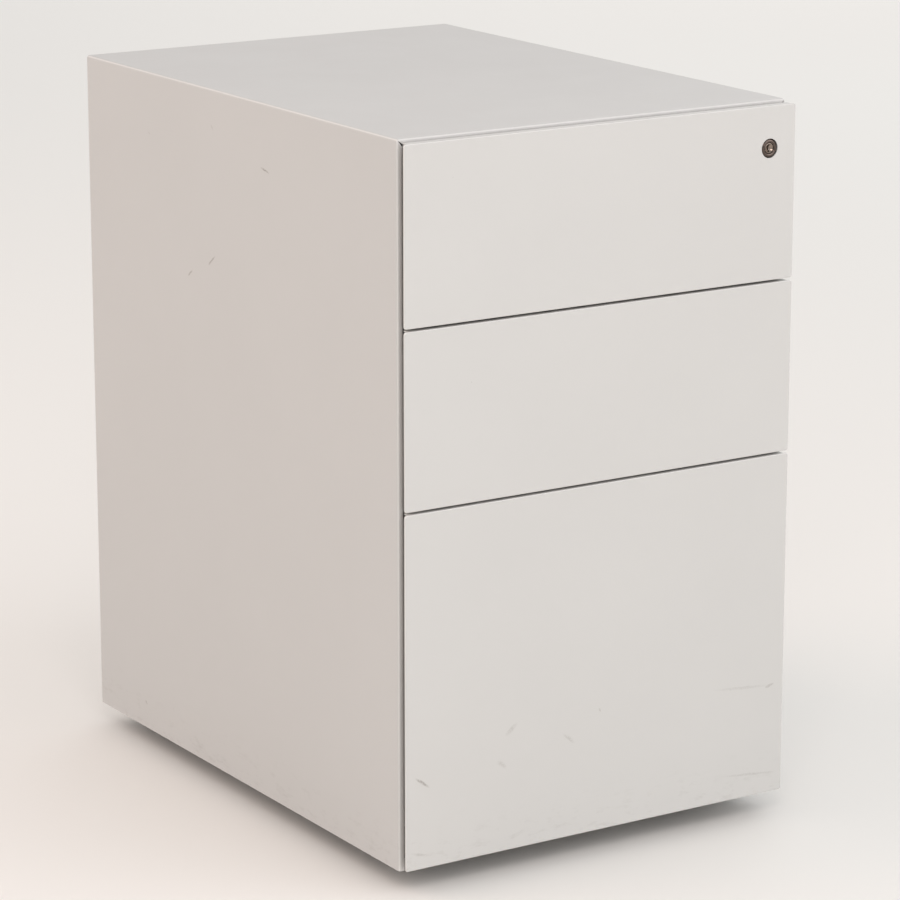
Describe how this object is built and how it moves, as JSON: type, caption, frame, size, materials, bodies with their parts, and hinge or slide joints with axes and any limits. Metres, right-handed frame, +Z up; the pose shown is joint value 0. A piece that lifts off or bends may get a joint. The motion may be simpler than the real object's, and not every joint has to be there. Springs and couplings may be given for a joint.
{
  "type": "rolling pedestal cabinet",
  "caption": "Steel rolling pedestal cabinet: shallow drawers over a deep file drawer, flush fronts with side finger grips, a key lock and concealed castors.",
  "frame": {"origin": "on the floor under the middle of the cabinet's box", "axes": "+Z up, -Y out of the drawer fronts, +X to the right as the fronts are faced"},
  "size_m": [0.3824, 0.543, 0.626],
  "materials": {
    "shell_paint": "satin light grey powder coat",
    "front_paint": "satin light grey powder coat",
    "inner_paint": "satin light grey powder coat, less worn",
    "zinc_steel": "zinc plated",
    "lock_metal": "dark nickel plated",
    "castor_plastic": "moulded black nylon",
    "wheel_tread": "dark grey soft tread",
    "cast_iron": "rough, dark"
  },
  "bodies": {
    "carcass": {"outer_shell": "shell_paint", "back_panel": "shell_paint", "base_pan": "inner_paint", "counterweight": "cast_iron", "upright_front_left": "zinc_steel", "upright_front_right": "zinc_steel", "upright_rear_left": "zinc_steel", "upright_rear_right": "zinc_steel", "cabinet_slide_top_left": "zinc_steel", "cabinet_slide_top_right": "zinc_steel", "cabinet_slide_middle_left": "zinc_steel", "cabinet_slide_middle_right": "zinc_steel", "cabinet_slide_file_left": "zinc_steel", "cabinet_slide_file_right": "zinc_steel", "lock_bracket": "zinc_steel", "lock_barrel": "lock_metal", "lock_nut": "zinc_steel", "lock_bar_guide": "zinc_steel", "castor_plate_front_left": "zinc_steel", "castor_plate_front_right": "zinc_steel", "castor_plate_rear_left": "zinc_steel", "castor_plate_rear_right": "zinc_steel"},
    "drawer_top": {"top_front_skin": "front_paint", "top_front_liner": "inner_paint", "top_drawer_box": "inner_paint", "top_drawer_slide_left": "zinc_steel", "top_drawer_slide_right": "zinc_steel"},
    "drawer_middle": {"middle_front_skin": "front_paint", "middle_front_liner": "inner_paint", "middle_drawer_box": "inner_paint", "middle_drawer_slide_left": "zinc_steel", "middle_drawer_slide_right": "zinc_steel"},
    "drawer_file": {"file_front_skin": "front_paint", "file_front_liner": "inner_paint", "file_drawer_box": "inner_paint", "file_drawer_slide_left": "zinc_steel", "file_drawer_slide_right": "zinc_steel", "hanging_rail_left": "zinc_steel", "hanging_rail_right": "zinc_steel"},
    "file_runner_left": {"file_runner_left": "zinc_steel"},
    "file_runner_right": {"file_runner_right": "zinc_steel"},
    "lock_plug": {"lock_plug": "lock_metal", "lock_cam": "zinc_steel"},
    "lock_bar": {"lock_bar": "zinc_steel"},
    "castor_hood_front_left": {"castor_hood_front_left": "castor_plastic", "castor_axle_front_left": "zinc_steel"},
    "castor_wheels_front_left": {"castor_wheel_front_left_left": "wheel_tread", "castor_wheel_front_left_right": "wheel_tread"},
    "castor_hood_front_right": {"castor_hood_front_right": "castor_plastic", "castor_axle_front_right": "zinc_steel"},
    "castor_wheels_front_right": {"castor_wheel_front_right_left": "wheel_tread", "castor_wheel_front_right_right": "wheel_tread"},
    "castor_hood_rear_left": {"castor_hood_rear_left": "castor_plastic", "castor_axle_rear_left": "zinc_steel"},
    "castor_wheels_rear_left": {"castor_wheel_rear_left_left": "wheel_tread", "castor_wheel_rear_left_right": "wheel_tread"},
    "castor_hood_rear_right": {"castor_hood_rear_right": "castor_plastic", "castor_axle_rear_right": "zinc_steel"},
    "castor_wheels_rear_right": {"castor_wheel_rear_right_left": "wheel_tread", "castor_wheel_rear_right_right": "wheel_tread"}
  },
  "joints": [
    {"name": "drawer_top_slide", "type": "slide", "parent": "carcass", "child": "drawer_top", "axis": [0, -1, 0], "range_m": [0, 0.36]},
    {"name": "drawer_middle_slide", "type": "slide", "parent": "carcass", "child": "drawer_middle", "axis": [0, -1, 0], "range_m": [0, 0.36]},
    {"name": "drawer_file_slide", "type": "slide", "parent": "carcass", "child": "drawer_file", "axis": [0, -1, 0], "range_m": [0, 0.47]},
    {"name": "file_runner_left_slide", "type": "slide", "parent": "carcass", "child": "file_runner_left", "axis": [0, -1, 0], "range_m": [0, 0.235]},
    {"name": "file_runner_right_slide", "type": "slide", "parent": "carcass", "child": "file_runner_right", "axis": [0, -1, 0], "range_m": [0, 0.235]},
    {"name": "lock_turn", "type": "hinge", "parent": "carcass", "child": "lock_plug", "pos_m": [0.1648, -0.2715, 0.5879], "axis": [0, -1, 0], "range_deg": [0, 90]},
    {"name": "lock_bar_lift", "type": "slide", "parent": "carcass", "child": "lock_bar", "axis": [0, 0, 1], "range_m": [0, 0.008]},
    {"name": "swivel_front_left", "type": "hinge", "parent": "carcass", "child": "castor_hood_front_left", "pos_m": [-0.13, -0.2, 0.045], "axis": [0, 0, 1], "continuous": true},
    {"name": "swivel_front_right", "type": "hinge", "parent": "carcass", "child": "castor_hood_front_right", "pos_m": [0.13, -0.2, 0.045], "axis": [0, 0, 1], "continuous": true},
    {"name": "swivel_rear_left", "type": "hinge", "parent": "carcass", "child": "castor_hood_rear_left", "pos_m": [-0.13, 0.192, 0.045], "axis": [0, 0, 1], "continuous": true},
    {"name": "swivel_rear_right", "type": "hinge", "parent": "carcass", "child": "castor_hood_rear_right", "pos_m": [0.13, 0.192, 0.045], "axis": [0, 0, 1], "continuous": true},
    {"name": "wheel_front_left", "type": "hinge", "parent": "castor_hood_front_left", "child": "castor_wheels_front_left", "pos_m": [-0.13, -0.186, 0.02], "axis": [1, 0, 0], "continuous": true},
    {"name": "wheel_front_right", "type": "hinge", "parent": "castor_hood_front_right", "child": "castor_wheels_front_right", "pos_m": [0.13, -0.186, 0.02], "axis": [1, 0, 0], "continuous": true},
    {"name": "wheel_rear_left", "type": "hinge", "parent": "castor_hood_rear_left", "child": "castor_wheels_rear_left", "pos_m": [-0.13, 0.206, 0.02], "axis": [1, 0, 0], "continuous": true},
    {"name": "wheel_rear_right", "type": "hinge", "parent": "castor_hood_rear_right", "child": "castor_wheels_rear_right", "pos_m": [0.13, 0.206, 0.02], "axis": [1, 0, 0], "continuous": true}
  ],
  "couplings": [
    {"joint": "file_runner_left_slide", "follows": "drawer_file_slide", "ratio": 0.5},
    {"joint": "file_runner_right_slide", "follows": "drawer_file_slide", "ratio": 0.5},
    {"joint": "lock_turn", "follows": "lock_bar_lift", "rad_per_m": 196.34}
  ]
}
